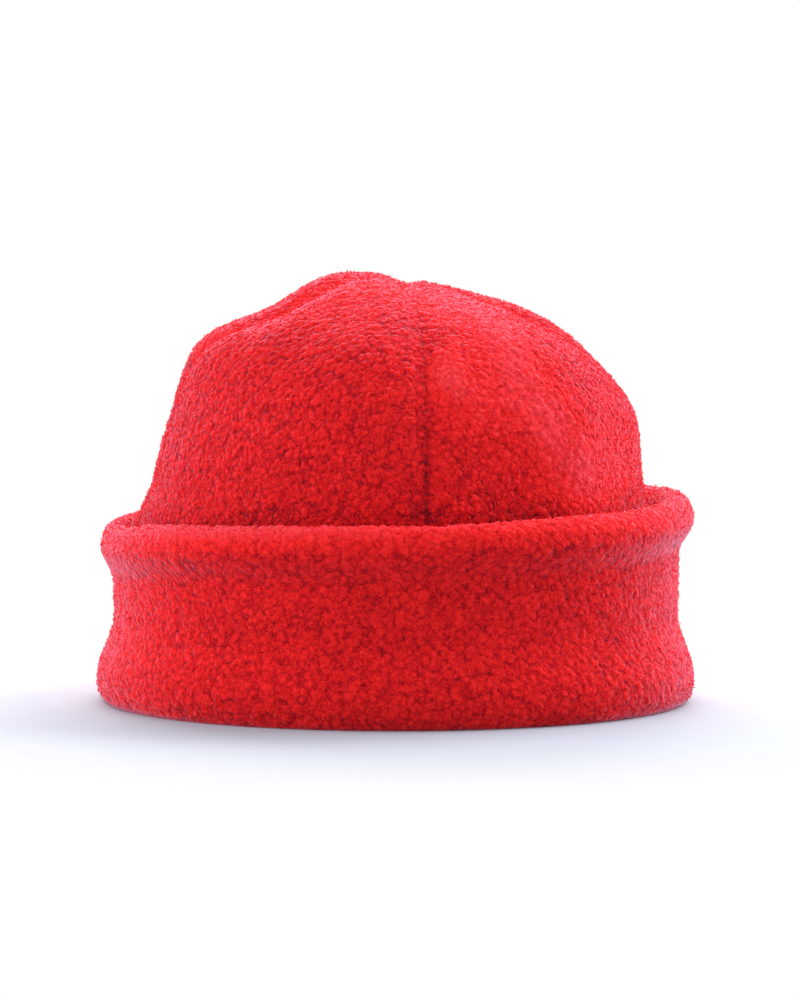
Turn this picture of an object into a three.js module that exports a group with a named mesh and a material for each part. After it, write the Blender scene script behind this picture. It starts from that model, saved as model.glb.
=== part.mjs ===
// A cuffed beanie of boiled wool fleece: four crown panels sewn to one doubled band, turned up as the cuff.
// Millimetres, +Z up. The hat stands on its rim with the crown's front seam at -Y and its right side at +X.
// Angles run round the hat in degrees, from the front seam towards +X.
import * as THREE from "three";

// Driving dimensions
const HEAD_GIRTH = 585; // inside girth of the crown wall
const FLEECE = 3.6; // thickness of one layer
const SEWN_GAP = 0.3; // clearance between sewn pieces
const SEAM_DIP = 2.4; // how far a seam is pulled in
const SEAM_ROLL = 5.5; // reach of that pull on either side of the seam
const SEAM_ALLOWANCE = 6; // depth of the panel edges that are turned inside
const RIM_RADIUS = 113.6; // widest point of the turned rim
const REST_HALF_ANGLE = 35; // half the arc of the rim that is pressed flat on the table
const FOLD_RISE = 9.5; // round of the fold along the top of the cuff, above its widest point
const WAIST_FROM = 33; // the cuff is narrowest from this height
const WAIST_BELOW_FOLD = 13; // up to this far below the fold's widest point
const BACK_SEAM_DIP = 1.4; // seam that closes the band at the back
const BACK_SEAM_ROLL = 5;

// Crown
const WALL_RADIUS = HEAD_GIRTH / (2 * Math.PI) + FLEECE; // outside of the crown wall at its sewn edge
const DOME_CENTRE_Z = 60; // the dome's radii are measured from this point on the axis
const APEX_RADIUS = 100.6;
const APEX_LEAN = 3.8; // the apex stands this far towards +X
const TIP_ELEVATION = 89.4; // the panels' tips end just short of the axis
const FIN_FADES_FROM = 55; // the turned seam edges thin out between these elevations
const FIN_FADES_TO = 80;

// The crown's seams: their angle at the cuff, and how far each wanders round between two elevations.
const SEAMS = {
  front: { angle: 0, drift: 0, driftFrom: 20, driftTo: 70 },
  right: { angle: 90, drift: -30, driftFrom: 18, driftTo: 70 },
  back: { angle: 180, drift: 0, driftFrom: 20, driftTo: 70 },
  left: { angle: 270, drift: 32, driftFrom: 32, driftTo: 72 },
};
const PANELS = [
  { name: "crown_panel_front_right", from: SEAMS.front, to: SEAMS.right },
  { name: "crown_panel_back_right", from: SEAMS.right, to: SEAMS.back },
  { name: "crown_panel_back_left", from: SEAMS.back, to: SEAMS.left },
  { name: "crown_panel_front_left", from: SEAMS.left, to: SEAMS.front },
];

// Distance of the crown's outside from the dome's centre, at six elevations in degrees, for each meridian.
// The left side at 270 has a sharp shoulder and a straight roof, and the right side at 90 is rounder.
const ELEVATION_STEP = 15;
const ELEVATIONS = ["at0", "at15", "at30", "at45", "at60", "at75"];
const CROWN_MERIDIANS = [
  { angle: 0, at0: 97.0, at15: 97.2, at30: 101.0, at45: 102.6, at60: 101.0, at75: 100.0 },
  { angle: 45, at0: 97.2, at15: 97.4, at30: 102.4, at45: 103.4, at60: 100.4, at75: 98.8 },
  { angle: 90, at0: 97.6, at15: 97.0, at30: 103.2, at45: 101.6, at60: 100.4, at75: 98.4 },
  { angle: 135, at0: 97.2, at15: 97.6, at30: 102.4, at45: 102.6, at60: 100.6, at75: 98.6 },
  { angle: 180, at0: 97.0, at15: 97.2, at30: 101.4, at45: 103.0, at60: 101.6, at75: 100.6 },
  { angle: 225, at0: 97.0, at15: 97.0, at30: 101.0, at45: 105.4, at60: 103.6, at75: 104.2 },
  { angle: 270, at0: 97.2, at15: 95.6, at30: 99.4, at45: 107.8, at60: 101.8, at75: 105.0 },
  { angle: 315, at0: 97.2, at15: 96.8, at30: 100.4, at45: 104.2, at60: 102.6, at75: 103.8 },
];

// Soft ridges (positive lift) and dents (negative) of the crown: their place, reach in degrees and height.
const CROWN_FOLDS = [
  { name: "right ridge", angle: 28, elevation: 54, across: 10, along: 20, lift: 2.4 },
  { name: "foot of the right ridge", angle: 39, elevation: 24, across: 10, along: 14, lift: 1.8 },
  { name: "dent beside the right seam", angle: 58, elevation: 44, across: 8, along: 22, lift: -1.3 },
  { name: "dent beside the front seam", angle: 15, elevation: 20, across: 9, along: 13, lift: -1.6 },
  { name: "puff beside the front seam", angle: 8, elevation: 41, across: 6, along: 9, lift: 1.2 },
  { name: "dent above the cuff", angle: 30, elevation: 8, across: 16, along: 12, lift: -2.2 },
  { name: "flat of the left panel", angle: 312, elevation: 30, across: 22, along: 24, lift: -1.6 },
  { name: "left roof ridge", angle: 288, elevation: 66, across: 16, along: 12, lift: 1.6 },
  { name: "ridge before the left seam", angle: 311, elevation: 57, across: 9, along: 14, lift: 1.4 },
  { name: "left foot roll", angle: 277, elevation: 5, across: 24, along: 6, lift: 2.4 },
  { name: "back ridge", angle: 216, elevation: 50, across: 12, along: 26, lift: 1.8 },
];

// Grid lines of one panel: distance from the nearer seam, held to a share of the half panel where it narrows,
// and whether the turned seam allowance reaches that far.
const PANEL_LINES = [
  { distance: SEWN_GAP / 2, mostShare: 0.1, allowance: 1 },
  { distance: FLEECE, mostShare: 0.26, allowance: 1 },
  { distance: FLEECE + 0.4, mostShare: 0.3, allowance: 0 },
  { distance: 9, mostShare: 0.42, allowance: 0 },
  { distance: 20, mostShare: 0.56, allowance: 0 },
  { distance: 42, mostShare: 0.78, allowance: 0 },
  { distance: Infinity, mostShare: 1, allowance: 0 },
];
const WALL_ROWS = 3; // rows of the upright wall that the cuff hides
const DOME_ROWS = [0, 5, 10, 16, 24, 31, 37, 42, 47, 52, 58, 64, 70, 76, 81, 85.5, TIP_ELEVATION];

// Cuff: the band's two layers lie back to back on one middle line, from the sewn lip, under the rim and up to
// the fold.
const LAYER_SLIT = 0.3; // half the space between the layers
const HALF_BAND = FLEECE + LAYER_SLIT; // half the thickness of the doubled band
const LIP_RADIUS = WALL_RADIUS - FLEECE / 2; // middle line at the lip, below the crown wall
const TURN_SQUARENESS = 2.8; // exponent of the turn under the rim, where 2 is a round
const TURN_DEPTH = (RIM_RADIUS - HALF_BAND - LIP_RADIUS) / 2; // middle line's turn before it is pressed
const REST_FROM = 90 - REST_HALF_ANGLE; // the pressed stretch of the turn
const REST_TO = 90 + REST_HALF_ANGLE;
const LIP_Z = (TURN_DEPTH + HALF_BAND) * squared(Math.sin(THREE.MathUtils.degToRad(REST_FROM)));
const CUFF_SECTORS = 64;

// Grid lines of the cuff's faces and of the slit between its layers: angles of the turn, shares of the way
// from the turn to the waist and from the waist to the fold, and steps of the fold.
const FACE_LINES = {
  turn: [0, 20, 40, REST_FROM, REST_TO, 140, 160, 180],
  flare: [0.33, 0.66, 1],
  lift: [0, 0.5],
  foldSteps: 6,
};
const SLIT_LINES = {
  turn: [0, REST_FROM, REST_TO, 180],
  flare: [1],
  lift: [0],
  foldSteps: 4,
};

// The cuff's outline round the hat: its height, the outside radius of its fold, waist and rim, and half the
// thickness of its fold.
const CUFF_STATIONS = [
  { angle: 0, height: 73.0, fold: 112.8, waist: 108.0, rim: 113.6, foldHalf: 6.8 },
  { angle: 45, height: 75.8, fold: 113.2, waist: 108.2, rim: 115.0, foldHalf: 7.0 },
  { angle: 90, height: 79.2, fold: 113.6, waist: 107.9, rim: 113.6, foldHalf: 7.2 },
  { angle: 135, height: 79.6, fold: 113.0, waist: 108.0, rim: 113.8, foldHalf: 7.0 },
  { angle: 180, height: 76.0, fold: 112.6, waist: 107.9, rim: 113.6, foldHalf: 6.8 },
  { angle: 225, height: 71.6, fold: 112.2, waist: 107.6, rim: 113.8, foldHalf: 6.4 },
  { angle: 270, height: 68.0, fold: 112.0, waist: 107.2, rim: 113.6, foldHalf: 6.0 },
  { angle: 315, height: 72.0, fold: 112.4, waist: 107.6, rim: 113.8, foldHalf: 6.4 },
];

const RED_FLEECE = new THREE.MeshStandardMaterial({ color: 0xc9242a, roughness: 0.95, metalness: 0 });

const { degToRad, euclideanModulo, lerp, radToDeg, smoothstep } = THREE.MathUtils;

// Value between from and to on a smooth curve that also heeds the values before and after them.
function smoothBetween(before, from, to, after, share) {
  const bend = 2 * before - 5 * from + 4 * to - after;
  const twist = 3 * (from - to) + after - before;
  return from + 0.5 * share * (to - before + share * (bend + share * twist));
}

// Column of a table whose rows are spaced evenly round the hat, read at any angle.
function roundTable(rows, column, angle) {
  const place = (euclideanModulo(angle, 360) / 360) * rows.length;
  const first = Math.floor(place);
  const at = (step) => rows[euclideanModulo(first + step, rows.length)][column];
  return smoothBetween(at(-1), at(0), at(1), at(2), place - first);
}

// Shortest way round from one angle to another, in degrees.
function turnBetween(from, to) {
  return euclideanModulo(to - from + 180, 360) - 180;
}

function bell(offset) {
  return Math.exp(-offset * offset);
}

// Sine or cosine of a round, pushed out towards a square with rounded corners.
function squared(value) {
  return Math.sign(value) * Math.abs(value) ** (2 / TURN_SQUARENESS);
}

// Point of a section, given by radius and height, turned to its angle round the hat.
function aroundHat(radius, angle, z) {
  return new THREE.Vector3(radius * Math.sin(degToRad(angle)), -radius * Math.cos(degToRad(angle)), z);
}

// Crown outline at a meridian and elevation, before its seams are pulled in.
// Past the apex the curve runs down the far side.
function domeRadius(angle, elevation) {
  const last = ELEVATIONS.length;
  const at = (index) => {
    if (index === last) return APEX_RADIUS;
    if (index > last) return roundTable(CROWN_MERIDIANS, ELEVATIONS[2 * last - index], angle + 180);
    return roundTable(CROWN_MERIDIANS, ELEVATIONS[Math.max(index, 0)], angle);
  };
  const place = elevation / ELEVATION_STEP;
  const first = Math.floor(place);
  const radius = smoothBetween(at(first - 1), at(first), at(first + 1), at(first + 2), place - first);
  return CROWN_FOLDS.reduce((sum, fold) => {
    const across = bell(turnBetween(fold.angle, angle) / fold.across);
    return sum + fold.lift * across * bell((elevation - fold.elevation) / fold.along);
  }, radius);
}

// Height and elevation of each row of a panel, and its share of the dome's form, up the wall and the dome.
function panelRows() {
  const foot = LIP_Z + SEWN_GAP;
  const wall = Array.from({ length: WALL_ROWS }, (_, row) => {
    const share = row / WALL_ROWS;
    return { share, elevation: 0, z: lerp(foot, DOME_CENTRE_Z, share) };
  });
  const dome = DOME_ROWS.map((elevation) => ({ share: 1, elevation, z: DOME_CENTRE_Z }));
  return [...wall, ...dome];
}

// Angle of a seam at an elevation of the crown.
function seamAngle(seam, elevation) {
  return seam.angle + seam.drift * smoothstep(elevation, seam.driftFrom, seam.driftTo);
}

// Angle from the first seam, distance from the nearer one and seam allowance of each grid line of a panel.
function panelLines(horizontalRadius, halfPanel) {
  const half = PANEL_LINES.map((line) => {
    const fromSeam = Math.min(line.distance / horizontalRadius, line.mostShare * halfPanel);
    return { turn: fromSeam, distance: fromSeam * horizontalRadius, allowance: line.allowance };
  });
  const mirrored = half.slice(0, -1).reverse();
  return [...half, ...mirrored.map((line) => ({ ...line, turn: 2 * halfPanel - line.turn }))];
}

// One corner of a panel's grid, on the outside of the fleece (depth 0) or inside it.
function crownPoint(row, angle, seamDistance, depth) {
  const dip = SEAM_DIP * row.share * bell(seamDistance / SEAM_ROLL);
  const outline = lerp(WALL_RADIUS, domeRadius(angle, row.elevation), row.share) - dip;
  const elevation = degToRad(row.elevation);
  const z = row.z + (outline - depth) * Math.sin(elevation);
  const point = aroundHat((outline - depth) * Math.cos(elevation), angle, z);
  point.x += APEX_LEAN * Math.sin(elevation) ** 2;
  return point;
}

// Closed geometry from an outer and an inner grid of corners, joined along their four borders.
function wallGeometry(outer, inner) {
  const rows = outer.length;
  const columns = outer[0].length;
  const out = (row, column) => row * columns + column;
  const into = (row, column) => rows * columns + out(row, column);
  const index = [];
  const quad = (a, b, c, d) => index.push(a, b, c, a, c, d);
  for (let row = 0; row + 1 < rows; row++) {
    for (let column = 0; column + 1 < columns; column++) {
      quad(out(row, column), out(row, column + 1), out(row + 1, column + 1), out(row + 1, column));
      quad(into(row + 1, column), into(row + 1, column + 1), into(row, column + 1), into(row, column));
    }
    const end = columns - 1;
    quad(into(row, 0), out(row, 0), out(row + 1, 0), into(row + 1, 0));
    quad(out(row, end), into(row, end), into(row + 1, end), out(row + 1, end));
  }
  for (let column = 0; column + 1 < columns; column++) {
    const top = rows - 1;
    quad(into(0, column), into(0, column + 1), out(0, column + 1), out(0, column));
    quad(out(top, column), out(top, column + 1), into(top, column + 1), into(top, column));
  }
  return indexedGeometry([...outer.flat(), ...inner.flat()], index);
}

function indexedGeometry(corners, index) {
  const positions = corners.flatMap((corner) => corner.toArray());
  return new THREE.BufferGeometry()
    .setAttribute("position", new THREE.Float32BufferAttribute(positions, 3))
    .setIndex(index);
}

function fleecePiece(name, geometry) {
  const piece = new THREE.Mesh(geometry, RED_FLEECE);
  piece.name = name;
  return piece;
}

// One gore of the crown between two seams, its seam edges turned inside as a fin that fades towards the tip.
function crownPanel({ name, from, to }) {
  const outer = [];
  const inner = [];
  for (const row of panelRows()) {
    const first = seamAngle(from, row.elevation);
    const half = euclideanModulo(seamAngle(to, row.elevation) - first, 360) / 2;
    const radius = lerp(WALL_RADIUS, domeRadius(first + half, row.elevation), row.share);
    const lines = panelLines(radius * Math.cos(degToRad(row.elevation)), degToRad(half));
    const fin = SEAM_ALLOWANCE * (1 - smoothstep(row.elevation, FIN_FADES_FROM, FIN_FADES_TO));
    const corner = (line, depth) => crownPoint(row, first + radToDeg(line.turn), line.distance, depth);
    outer.push(lines.map((line) => corner(line, 0)));
    inner.push(lines.map((line) => corner(line, FLEECE + fin * line.allowance)));
  }
  return fleecePiece(name, wallGeometry(outer, inner));
}

// The cuff's middle line at one angle: its radii at the fold, waist and rim, half the fold's thickness, and
// the height of the fold's widest point.
function cuffStation(angle) {
  const read = (column) => roundTable(CUFF_STATIONS, column, angle);
  const foldHalf = read("foldHalf");
  return {
    foldHalf,
    foldZ: read("height") - FOLD_RISE,
    fold: read("fold") - foldHalf,
    waist: read("waist") - HALF_BAND,
    rim: read("rim") - HALF_BAND,
  };
}

// Face of one layer from the lip, under the rim and up to the fold, at an offset from the middle line that is
// positive on the outside.
function cuffFace({ fold, waist, rim, foldHalf, foldZ }, lines, offset) {
  const turn = lines.turn.map((degrees) => {
    const across = squared(-Math.cos(degToRad(degrees)));
    const down = squared(Math.sin(degToRad(degrees)));
    const reach = (rim - LIP_RADIUS) / 2 + offset;
    const z = Math.max(LIP_Z - (TURN_DEPTH + offset) * down, HALF_BAND - offset);
    return new THREE.Vector2((rim + LIP_RADIUS) / 2 + reach * across, z);
  });
  const flare = lines.flare.map((share) => {
    const radius = lerp(rim, waist, smoothstep(share, 0, 1)) + offset;
    return new THREE.Vector2(radius, lerp(LIP_Z, WAIST_FROM, share));
  });
  const lift = lines.lift.map((share) => {
    const opened = smoothstep(share, 0, 1);
    const spread = Math.sign(offset) * (foldHalf - HALF_BAND) * opened;
    const radius = lerp(waist, fold, opened) + offset + spread;
    return new THREE.Vector2(radius, foldZ - WAIST_BELOW_FOLD * (1 - share));
  });
  return [...turn, ...flare, ...lift];
}

// Round of the fold from the outer layer over to the inner one, on its outside (depth 0) or inside it.
function cuffFold({ fold, foldHalf, foldZ }, lines, depth) {
  return Array.from({ length: lines.foldSteps + 1 }, (_, step) => {
    const along = (Math.PI * step) / lines.foldSteps;
    const radius = fold + (foldHalf - depth) * Math.cos(along);
    return new THREE.Vector2(radius, foldZ + (FOLD_RISE - depth) * Math.sin(along));
  });
}

// Closed section of the doubled band: round its outside, then back through the slit between the layers.
function cuffSection(angle) {
  const station = cuffStation(angle);
  const outside = [
    ...cuffFace(station, FACE_LINES, HALF_BAND),
    ...cuffFold(station, FACE_LINES, 0),
    ...cuffFace(station, FACE_LINES, -HALF_BAND).reverse(),
  ];
  const slit = [
    ...cuffFace(station, SLIT_LINES, -LAYER_SLIT),
    ...cuffFold(station, SLIT_LINES, FLEECE).reverse(),
    ...cuffFace(station, SLIT_LINES, LAYER_SLIT).reverse(),
  ];
  const seamDistance = degToRad(turnBetween(180, angle)) * RIM_RADIUS;
  const dip = BACK_SEAM_DIP * bell(seamDistance / BACK_SEAM_ROLL);
  return [...outside, ...slit].map((point) => {
    const upright = smoothstep(point.y, LIP_Z, WAIST_FROM);
    return aroundHat(point.x - dip * upright, angle, point.y);
  });
}

// Angles of the cuff's sections, closer together at the back seam.
function cuffAngles() {
  const step = 360 / CUFF_SECTORS;
  const even = Array.from({ length: CUFF_SECTORS }, (_, sector) => sector * step);
  return [...even, 180 - step / 2, 180 + step / 2].sort((a, b) => a - b);
}

// The turned-up band: one strip folded along the top of the cuff, turned under the rim and sewn on inside.
function cuff(name) {
  const sections = cuffAngles().map(cuffSection);
  const count = sections[0].length;
  const index = [];
  sections.forEach((_, sector) => {
    const here = sector * count;
    const next = ((sector + 1) % sections.length) * count;
    for (let point = 0; point < count; point++) {
      const after = (point + 1) % count;
      index.push(here + point, next + point, next + after);
      index.push(here + point, next + after, here + after);
    }
  });
  return fleecePiece(name, indexedGeometry(sections.flat(), index));
}

const beanie = new THREE.Group();
for (const panel of PANELS) beanie.add(crownPanel(panel));
beanie.add(cuff("cuff"));

export default beanie;
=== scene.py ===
"""Dresses a cuffed beanie in boiled wool fleece, over its packed crown panels and cuff, in a plain studio.

Lengths are in millimetres until a mesh is made. Angles run round the hat in degrees, from the front seam at
-Y towards +X, and elevations run up the crown in degrees, from its widest level to the apex at 90.
"""

import logging
import math
from dataclasses import dataclass
from enum import Enum, IntEnum
from itertools import product
from typing import Any, NamedTuple

import bpy
import numpy as np
from bpy.types import Material, Node, NodeSocket, NodeTree, Object
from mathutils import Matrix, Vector


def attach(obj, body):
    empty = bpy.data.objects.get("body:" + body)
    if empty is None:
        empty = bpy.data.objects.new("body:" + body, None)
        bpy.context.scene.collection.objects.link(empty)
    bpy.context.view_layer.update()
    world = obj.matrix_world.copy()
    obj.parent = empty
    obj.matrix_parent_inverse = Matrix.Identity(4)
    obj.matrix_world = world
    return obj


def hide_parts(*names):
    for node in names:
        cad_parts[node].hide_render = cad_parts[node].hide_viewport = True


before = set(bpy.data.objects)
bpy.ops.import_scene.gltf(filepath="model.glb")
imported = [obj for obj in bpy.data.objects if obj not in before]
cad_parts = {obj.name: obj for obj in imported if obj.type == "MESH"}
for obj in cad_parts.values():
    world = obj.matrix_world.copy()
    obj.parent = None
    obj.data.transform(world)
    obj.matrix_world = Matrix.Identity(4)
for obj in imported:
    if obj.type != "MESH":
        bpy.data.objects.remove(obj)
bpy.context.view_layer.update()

LOG = logging.getLogger("beanie")
MM = 0.001
BODY = "root"
SHARP_ANGLE = math.radians(75.0)
TINY = 1e-12

# Sockets of a mix of colours.
FIRST_COLOUR, SECOND_COLOUR, MIXED_COLOUR = 6, 7, 2

# Numbers that stir a lattice corner into random bits.
AXIS_PRIMES = np.array([0x9E3779B97F4A7C15, 0xC2B2AE3D27D4EB4F, 0x165667B19E3779F9], np.uint64)
CHANNEL_PRIME = 0x2545F4914F6CDD1D
CHANNELS = 8
STIRS = ((30, 0xBF58476D1CE4E5B9), (27, 0x94D049BB133111EB))
LAST_STIR = 31
WORD_BITS = 64
KEPT_BITS = 24

Array = np.ndarray
Colour = tuple[float, float, float]
Place = tuple[float, float, float]
Span = tuple[float, float]


def bell(offset: Array) -> Array:
    """Bump of height 1 that dies away on both sides."""
    return np.exp(-np.square(offset))


def mix(start: Any, stop: Any, share: Any) -> Any:
    """Value that lies a share of the way from start to stop."""
    return start + (stop - start) * share


def smooth(value: Any, start: float = 0.0, stop: float = 1.0) -> Any:
    """Share of the way from start to stop, held between 0 and 1 and eased at both ends."""
    share = np.clip((value - start) / (stop - start), 0.0, 1.0)
    return share * share * (3.0 - 2.0 * share)


def smooth_between(before: Any, start: Any, stop: Any, after: Any, share: Any) -> Any:
    """Reads a smooth curve through four values, between the middle two.

    Args:
        before: The value before start.
        start: The value that the stretch starts from.
        stop: The value that it ends at.
        after: The value after stop.
        share: How far along the stretch, from 0 to 1.

    Returns:
        The curve's value there.
    """
    bend = 2 * before - 5 * start + 4 * stop - after
    twist = 3 * (start - stop) + after - before
    return start + 0.5 * share * (stop - before + share * (bend + share * twist))


def read_round(rows: tuple[NamedTuple, ...], column: str, angles: Array) -> Array:
    """Reads a table whose rows are spaced evenly round the hat.

    Args:
        rows: The table.
        column: Name of the column to read.
        angles: Angles round the hat, in degrees.

    Returns:
        The column's value at each angle.
    """
    values = np.array([getattr(row, column) for row in rows])
    place = np.mod(angles, 360.0) / 360.0 * len(rows)
    first = np.floor(place).astype(int)
    near = [values[(first + step) % len(rows)] for step in (-1, 0, 1, 2)]
    return smooth_between(*near, place - first)


def turn_between(start: float, angles: Array) -> Array:
    """Shortest way round from one angle to others, in degrees."""
    return np.mod(angles - start + 180.0, 360.0) - 180.0


def around_hat(radius: Any, angles: Array, z: Any) -> Array:
    """Points at a radius and height, turned to their angles round the hat."""
    turned = np.radians(angles)
    return np.stack([radius * np.sin(turned), -radius * np.cos(turned), z + 0.0 * turned], axis=1)


class Meridian(NamedTuple):
    """Distance of the crown's outside from the dome's centre, at six elevations of one angle."""

    angle: float
    at0: float
    at15: float
    at30: float
    at45: float
    at60: float
    at75: float


class Spot(NamedTuple):
    """A soft place on the crown: where it lies, its reach in degrees, and how much it adds at its middle."""

    angle: float
    elevation: float
    across: float
    along: float
    adds: float

    def at(self, angles: Array, elevation: float) -> Array:
        """How much the spot adds at some angles of one elevation."""
        across = bell(turn_between(self.angle, angles) / self.across)
        return self.adds * across * bell((elevation - self.elevation) / self.along)


class CuffStation(NamedTuple):
    """Cuff at one angle: height, outside radii, half the fold's width, and painted pale sheen on the fold and
    the band.
    """

    angle: float
    height: float
    fold: float
    waist: float
    rim: float
    fold_half: float
    sheen_paint: float
    band_sheen_paint: float


CROWN_MERIDIANS = (
    Meridian(0, 97.0, 97.2, 101.0, 102.6, 101.0, 100.0),
    Meridian(45, 97.2, 97.4, 102.4, 103.4, 100.4, 98.8),
    Meridian(90, 97.6, 97.0, 103.2, 101.6, 100.4, 98.4),
    Meridian(135, 97.2, 97.6, 102.4, 102.6, 100.6, 98.6),
    Meridian(180, 97.0, 97.2, 101.4, 103.0, 101.6, 100.6),
    Meridian(225, 97.0, 97.0, 101.0, 105.4, 103.6, 104.2),
    Meridian(270, 97.2, 95.6, 99.4, 107.8, 101.8, 105.0),
    Meridian(315, 97.2, 96.8, 100.4, 104.2, 102.6, 103.8),
)

# Ridges and dents of the crown, in millimetres of its radius.
CROWN_FOLDS = (
    Spot(28, 54, 10, 20, 2.4),  # right ridge
    Spot(39, 24, 10, 14, 1.8),  # foot of the right ridge
    Spot(58, 44, 8, 22, -1.3),  # dent beside the right seam
    Spot(15, 20, 9, 13, -1.6),  # dent beside the front seam
    Spot(8, 41, 6, 9, 1.2),  # puff beside the front seam
    Spot(30, 8, 16, 12, -2.2),  # dent above the cuff
    Spot(312, 30, 22, 24, -1.6),  # flat of the left panel
    Spot(288, 66, 16, 12, 1.6),  # left roof ridge
    Spot(311, 57, 9, 14, 1.4),  # ridge before the left seam
    Spot(277, 5, 24, 6, 2.4),  # left foot roll
    Spot(216, 50, 12, 26, 1.8),  # back ridge
)

# Places of the crown with painted sheen and highlight (positive) and painted shade (negative), in steps of
# the pile's tone.
CROWN_PAINTED_LIGHT = (
    Spot(25, 58, 9, 11, 1.8),  # right ridge, painted pale sheen
    Spot(25, 42, 7, 9, 1.1),  # middle of the right ridge
    Spot(31, 29, 7, 8, 1.4),  # lower stretch of the right ridge
    Spot(42, 17, 10, 8, 1.6),  # foot of the right ridge
    Spot(15, 67, 11, 8, 1.6),  # top of the front right panel
    Spot(15, 33, 8, 9, 0.7),  # slope below the right ridge
    Spot(6, 40, 5, 7, 1.3),  # puff beside the front seam
    Spot(357, 56, 6, 7, -0.3),  # valley under the apex notch
    Spot(62, 22, 10, 12, 0.4),  # right side
    Spot(22, 7, 14, 5, -0.3),  # dent above the cuff
    Spot(278, 47, 7, 5, 0.9),  # ridge before the left seam
    Spot(298, 56, 6, 6, 1.0),  # middle of that ridge
    Spot(309, 65, 9, 6, 1.1),  # top of that ridge
    Spot(330, 78, 25, 7, 1.0),  # top of the front left panel
    Spot(272, 60, 12, 9, -0.22),  # strip behind the left seam
    Spot(330, 14, 24, 12, -0.17),  # shaded flat of the left panel
)

# The last two columns are painted pale sheen, on the fold's crest and on the band.
CUFF_STATIONS = (
    CuffStation(0, 73.0, 112.8, 108.0, 113.6, 6.8, 0.8, 0.0),
    CuffStation(45, 75.8, 113.2, 108.2, 115.0, 7.0, 1.0, 0.0),
    CuffStation(90, 79.2, 113.6, 107.9, 113.6, 7.2, 1.9, 0.45),
    CuffStation(135, 79.6, 113.0, 108.0, 113.8, 7.0, 0.7, 0.2),
    CuffStation(180, 76.0, 112.6, 107.9, 113.6, 6.8, 0.5, 0.0),
    CuffStation(225, 71.6, 112.2, 107.6, 113.8, 6.4, 0.7, 0.2),
    CuffStation(270, 68.0, 112.0, 107.2, 113.6, 6.0, 2.2, 0.6),
    CuffStation(315, 72.0, 112.4, 107.6, 113.8, 6.4, 1.8, 0.0),
)


@dataclass(frozen=True)
class Pattern:
    """Sizes that the crown and the cuff share."""

    head_girth: float = 585.0
    fleece: float = 3.6
    sewn_gap: float = 0.3
    layer_slit: float = 0.3
    rim_radius: float = 113.6
    turn_squareness: float = 2.8
    rest_half_angle: float = 35.0

    @property
    def wall_radius(self) -> float:
        """Outside radius of the crown wall at its sewn edge."""
        return self.head_girth / (2 * math.pi) + self.fleece

    @property
    def half_band(self) -> float:
        """Half the thickness of the doubled band."""
        return self.fleece + self.layer_slit

    @property
    def lip_radius(self) -> float:
        """Radius of the band's middle line at the lip, below the crown wall."""
        return self.wall_radius - self.fleece / 2

    @property
    def turn_depth(self) -> float:
        """Depth of the middle line's turn under the rim, before it is pressed flat."""
        return (self.rim_radius - self.half_band - self.lip_radius) / 2

    @property
    def lip_z(self) -> float:
        """Height of the lip that the crown is sewn to."""
        rest = math.sin(math.radians(90 - self.rest_half_angle))
        return float((self.turn_depth + self.half_band) * self.squared(rest))

    @property
    def foot_z(self) -> float:
        """Height of the crown's lower edge."""
        return self.lip_z + self.sewn_gap

    def squared(self, value: Any) -> Any:
        """Sine or cosine of a round, pushed out towards a square with rounded corners."""
        return np.sign(value) * np.abs(value) ** (2 / self.turn_squareness)


@dataclass(frozen=True)
class SeamLine:
    """A seam of the crown: its angle at the cuff, its wander between two elevations, and its shade's end."""

    angle: float
    drift: float = 0.0
    drift_from: float = 20.0
    drift_to: float = 70.0
    shade_to: float = 66.0

    def at(self, elevation: float) -> float:
        """Angle of the seam at an elevation."""
        return self.angle + self.drift * float(smooth(elevation, self.drift_from, self.drift_to))


FRONT_SEAM = SeamLine(angle=0)
RIGHT_SEAM = SeamLine(angle=90, drift=-30, drift_from=18, drift_to=70, shade_to=130)
BACK_SEAM = SeamLine(angle=180)
LEFT_SEAM = SeamLine(angle=270, drift=32, drift_from=32, drift_to=72, shade_to=130)


class Gore(Enum):
    """The four panels of the crown, each with the two seams it lies between."""

    FRONT_RIGHT = (FRONT_SEAM, RIGHT_SEAM)
    BACK_RIGHT = (RIGHT_SEAM, BACK_SEAM)
    BACK_LEFT = (BACK_SEAM, LEFT_SEAM)
    FRONT_LEFT = (LEFT_SEAM, FRONT_SEAM)


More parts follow.
